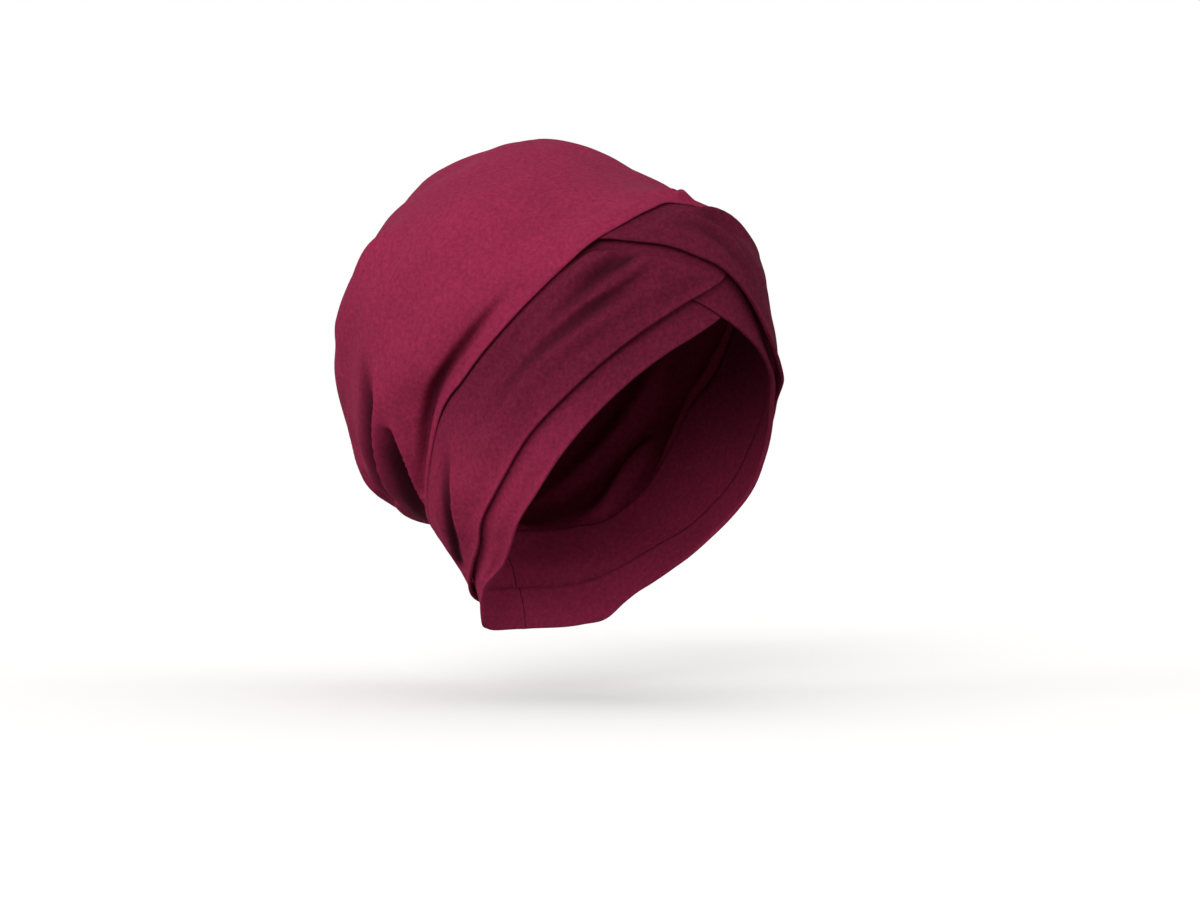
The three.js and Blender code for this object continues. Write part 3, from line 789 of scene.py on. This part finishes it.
# The rolled rim: distance up from the seam and height off the bands, from the edge turned in
# underneath, round the front of the roll and up its back.
RIM_ROWS = [
    (4.2, -0.3), (3.0, -0.3), (2.0, -0.3), (1.2, -0.26), (0.6, -0.14), (0.15, 0.1),
    (-0.1, 0.42), (-0.12, 0.76), (0.1, 1.06), (0.5, 1.28), (1.1, 1.42), (2.0, 1.52),
    (3.3, 1.6), (4.8, 1.7),
]
CROWN_STEPS = 320
STEP_CROWDING, FOLDS_AT, FOLDS_SPREAD = 1.3, 118, 34  # crowds the steps where the folds are
CROWN_BODY_ROWS = 124
LAST_ROW = 0.988  # the top is closed with a fan of faces from here
ROW_CROWDING = 1.15  # crowds the rows toward the rim, where the folds are
SLACK_WAVES = [(0.5, 26, 1), (0.2, 11, 2)]  # height, size and seed of the cloth's unevenness
FRONT_FLAT = 1.2  # how much closer the rim lies over the left of the forehead
GATHER_HEIGHT, GATHER_AT, GATHER_WIDTH = 4.2, -4, 8  # the bunched rim over the crossing

# Painted shade down in the folds, given as on the wide bands.
CROWN_PAINTED_SHADE = [
    Fold([(85, 0.063), (92, 0.062), (102, 0.059), (112, 0.05), (120, 0.04)],
         (0, 0.25, 0.4, 0.4, 0), 2.5, 2.5),
    Fold([(110.5, 0.31), (113.5, 0.265), (117, 0.212), (123, 0.17), (130, 0.146), (138, 0.133),
          (147, 0.126)],
         (0, 0.5, 0.85, 1, 1, 1, 0.8), (2, 2.4, 2.4, 2.8), (5, 7, 9, 11)),
    Fold([(119.5, 0.112), (122, 0.102), (125.5, 0.092), (129, 0.083), (133.5, 0.074),
          (139, 0.063), (144, 0.053)],
         (0.5, 0.9, 1, 1, 1, 1, 1), (3, 6, 9, 9), (3, 6, 9, 11)),
]
CROWN_FOLDS = [
    # The valley beside the seam. The cloth rolls over into it and rises again to the seam.
    Fold([(70, 0.062), (78, 0.062), (84, 0.062), (90, 0.062), (96, 0.063), (102, 0.059),
          (107, 0.054), (112, 0.05), (117, 0.046), (122, 0.036)],
         (0, -1.2, -3.2, -5, -6, -6.4, -6.4, -6, -5, -3), 2.2, 2.0),
    Fold([(66, 0.083), (88, 0.085), (100, 0.084), (110, 0.072)], (0, 1.5, 2.4, 1.0), 2.6, 6, 0.4),
    Fold([(70, 0.02), (88, 0.03), (102, 0.029), (112, 0.024), (121, 0.016)],
         (0, 0.9, 1.3, 1.3, 0), 2.4, 2.2),
    # The wide valley down the back of the bag. Its front edge is sharp and leans over it.
    Fold([(108.5, 0.295), (112, 0.243), (115, 0.197), (121.5, 0.16), (129, 0.137), (137, 0.124),
          (146, 0.12)],
         (0, -3, -6, -8, -9, -9, -7), (2.6, 2.6, 2.6, 3), (5, 7, 8, 9)),
    Fold([(108.5, 0.237), (110.5, 0.195), (113.5, 0.155), (121.8, 0.128), (131, 0.111),
          (139, 0.104)],
         (0, 1.6, 2.8, 3.4, 3, 1), 3.6, 2.4, -0.3),
    # The pleat that opens downward behind the ear, sharp in front.
    Fold([(117, 0.118), (119, 0.1), (121, 0.086), (123.5, 0.074), (127, 0.06), (132, 0.04)],
         (0, -9, -16, -20, -21, -18), (2.2, 2.4, 2.8, 2.8), (2.6, 4, 5.5, 6.5)),
    Fold([(114.5, 0.112), (116.5, 0.092), (118.5, 0.077), (121.5, 0.063), (125.5, 0.046)],
         (0, 2.0, 2.6, 2.6, 1.5), 2.4, 2.4, -0.4),
    # The hanging end is drawn up where the wide valley passes under it, and is nipped above.
    Fold([(149, 0.205), (153, 0.175), (158, 0.168), (164, 0.15)], (-4, -9, -8, -2), 6, 6),
    Fold([(130, 0.35), (138, 0.352), (145, 0.335), (150, 0.3), (155, 0.26)],
         (0, -3.5, -4.5, -3, 0), 5, 9),
    # Slack: a shallow dent high on the back, a bulge below it, and the fall to the hanging end.
    Fold([(92, 0.87), (115, 0.835), (142, 0.80)], (-1, -4, -4.5), 14, 13),
    Fold([(98, 0.6), (112, 0.54), (124, 0.47)], (0, 5.0, 3.5), 13, 13),
    Fold([(98, 0.62), (107, 0.57), (115, 0.52)], (0, 3.6, 0), 9, 9),
    Fold([(50, 0.93), (82, 0.9), (104, 0.88)], (0, 1.5, 0), 11, 11),
    Fold([(110, 0.42), (125, 0.33), (140, 0.25)], (0, -5, -6), 15, 15),
    # Small creases above the seam in front, where the rim is drawn over the crossing.
    Fold([(0, 0.03), (-1, 0.06), (-2, 0.1)], (2.2, 1.6, 0), 6, 6),
    Fold([(20, 0.03), (17, 0.09), (12, 0.16)], (-0.8, -1.4, 0), 3, 4),
    Fold([(38, 0.04), (33, 0.1), (26, 0.17)], (-0.5, -1.0, 0), 3.5, 4),
    Fold([(-7, 0.05), (-18, 0.06), (-32, 0.065), (-48, 0.07)], (0, -3.2, -3.2, 0), 9, 9),
    Fold([(-60, 0.88), (-15, 0.86), (40, 0.9)], (0, 1.5, 0), 14, 14),
    Fold([(-40, 0.5), (-14, 0.52), (10, 0.6)], (0, -1.5, 0), 22, 22),
    # The same kinds of fold on the left.
    Fold([(-66, 0.067), (-82, 0.066), (-95, 0.067), (-108, 0.06), (-120, 0.04)],
         (0, -3, -4, -3, 0), 2.8, 4),
    Fold([(-108, 0.34), (-118, 0.25), (-132, 0.19), (-150, 0.16)], (0, -6, -8, -4), 11, 4),
    Fold([(-122, 0.135), (-127, 0.095), (-136, 0.05)], (0, -7, -5), 8, 4),
    # Gathers at the nape.
    Fold([(158, 0.22), (168, 0.12), (175, 0.04)], (0, -4, -4), 9, 9),
    Fold([(-162, 0.2), (-169, 0.11), (-173, 0.04)], (0, -4, -4), 8, 8),
]


def on_hoops(angle):
    """The points of every hoop at each angle: [hoop, angle, axis]."""
    t = np.radians(angle)
    c = np.cos(t)[None]
    hoop = {name: column[:, None] for name, column in CROWN_HOOPS.items()}

    def through(front, side, back):
        return side + (front - back) / 2 * c + ((front + back) / 2 - side) * c * c

    return np.stack([
        -hoop["half_width"] * np.sin(t)[None] * (1 - hoop["taper"] * c),
        through(hoop["front_y"], hoop["side_y"], hoop["back_y"]),
        through(hoop["front_z"], hoop["side_z"], hoop["back_z"]),
    ], axis=-1)


def over_seam(angle, up, height):
    """A point a distance up from the seam and a height off the bands."""
    z = seam_height(angle) + climb(angle, up)
    off = stand_off("crown", angle, z) + height
    return on_head(angle, z) + head_normal(angle, z) * off[:, None]


def bag_curve(angle):
    """The crown's outer side as a curve over "along" for each angle."""
    hoops = on_hoops(angle)
    beyond = on_hoops(angle + 180)[-2]
    points = np.concatenate([
        over_seam(angle, 0, CROWN_WALL + 0 * angle)[None],
        over_seam(angle, RIM_LIFT, CROWN_WALL + RIM_ROLL + 0 * angle)[None],
        hoops, beyond[None],
    ])
    along = CROWN_HOOPS["along"]
    return smooth_curve([0, RIM_ALONG, *along, 2 - along[-2]], points)


def on_bag(angle, along):
    """Single places on the bag, for the paths of its folds."""
    angle = np.atleast_1d(angle)
    up_the_bag = bag_curve(angle)
    return np.stack([up_the_bag(a)[i] for i, a in enumerate(np.atleast_1d(along))])


def crown_angles():
    """Steps round the bag, closer together where its folds lie."""
    fine = np.linspace(-180, 180, 3601)
    from_folds = (np.abs(fine) - FOLDS_AT) / FOLDS_SPREAD
    density = 1 + STEP_CROWDING * np.exp(-(from_folds ** 2))
    total = np.concatenate([[0], np.cumsum((density[1:] + density[:-1]) / 2)])
    return np.interp(np.linspace(0, total[-1], CROWN_STEPS + 1)[:-1], total, fine)


# The crown has the same colours as the bands, without their painted shade by height.
crown_cloth = jersey("maroon_jersey_single", dark="#6e1c35", light="#882544")

# The bag, from behind the rolled rim to the top, with its folds. They die out toward the rim.
angles = crown_angles()
curve = bag_curve(angles)
up_body = np.linspace(0, 1, CROWN_BODY_ROWS) ** ROW_CROWDING
body_along = RIM_ALONG + (LAST_ROW - RIM_ALONG) * up_body
body = curve(body_along)
up_along = unit(curve(body_along + 0.003) - curve(body_along - 0.003))
round_along = unit(np.roll(body, -1, axis=1) - np.roll(body, 1, axis=1))
body_normal = unit(np.cross(up_along, round_along))
height, sideways = fold_heights(body, body_normal, on_bag, CROWN_FOLDS)
# Painted shade: how dark the crown is painted down in its folds, from 0 to 1.
fold_shade_share = np.minimum(fold_heights(body, body_normal, on_bag, CROWN_PAINTED_SHADE)[0], 1)
height += sum(tall * waviness(body, size, seed) for tall, size, seed in SLACK_WAVES)
free = ramp(body_along, 0.025, 0.05)[:, None]
body = body + body_normal * (height * free)[..., None] + sideways * free[..., None]

# The rolled rim.
flat_front = FRONT_FLAT * ramp(angles, -70, -50) * ramp(-angles, -20, 4)
gathered = GATHER_HEIGHT * np.exp(-(((angles - GATHER_AT) / GATHER_WIDTH) ** 2))
rim = np.array([
    over_seam(angles, up, off - flat_front + gathered * ramp(up, 0.6, 4)) for up, off in RIM_ROWS
])
points = np.concatenate([rim, body])
top = curve(np.array(1.0))[0]

# The flat cloth, opened out round the top: each point lies as far from it as it does on the bag.
steps_up = np.linalg.norm(np.diff(np.concatenate([points, np.tile(top, (1, CROWN_STEPS, 1))]),
                                  axis=0), axis=-1)
from_top = np.cumsum(steps_up[::-1], axis=0)[::-1]
cloth = np.stack([
    from_top * np.sin(np.radians(angles)), -from_top * np.cos(np.radians(angles)),
], axis=-1)
fold_shade_share = np.concatenate([np.zeros(rim.shape[:2]), fold_shade_share])
crown = sheet_mesh("crown", points, cloth, fold_shade_share, crown_cloth, ring=True, pole=top)
finish_sheet(crown, "crown")
